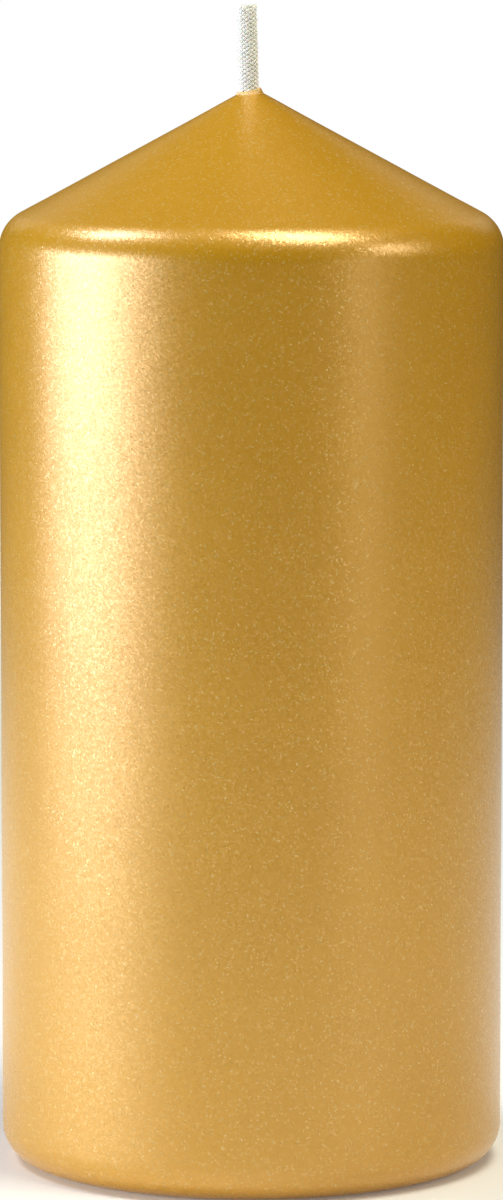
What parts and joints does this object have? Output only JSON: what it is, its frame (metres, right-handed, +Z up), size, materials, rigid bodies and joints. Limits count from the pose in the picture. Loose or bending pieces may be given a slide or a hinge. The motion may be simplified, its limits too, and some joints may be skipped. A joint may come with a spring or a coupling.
{
  "type": "pillar candle",
  "caption": "Gold lacquered pillar candle with a conical top, rounded edges and a braided cotton wick, used as the centre candle of a wedding unity set.",
  "frame": {"origin": "centre of the base, on the surface that the candle stands on", "axes": "+Z up along the candle's axis, towards the wick; the wick leans slightly towards -X, and the front faces -Y"},
  "size_m": [0.07, 0.07, 0.1615],
  "materials": {
    "pressed_wax": "pressed paraffin wax, matte and slightly granular",
    "dyed_wax": "honey-coloured hard wax, satin",
    "gold_lacquer": "gold flake lacquer, metallic satin",
    "clear_wax": "clean paraffin wax, satin",
    "braided_cotton": "bleached cotton braid, lightly waxed",
    "cotton_yarn": "bleached cotton yarn",
    "tinplate": "tinned sheet steel, bright",
    "sealing_wax": "soft sealing wax, satin"
  },
  "bodies": {
    "root": {"wax_core": "pressed_wax", "overdip_skin": "dyed_wax", "gold_lacquer": "gold_lacquer", "channel_wax": "clear_wax", "wick_sheath": "braided_cotton", "wick_core_yarns": "cotton_yarn", "wick_sustainer": "tinplate", "base_seal": "sealing_wax"}
  },
  "joints": []
}
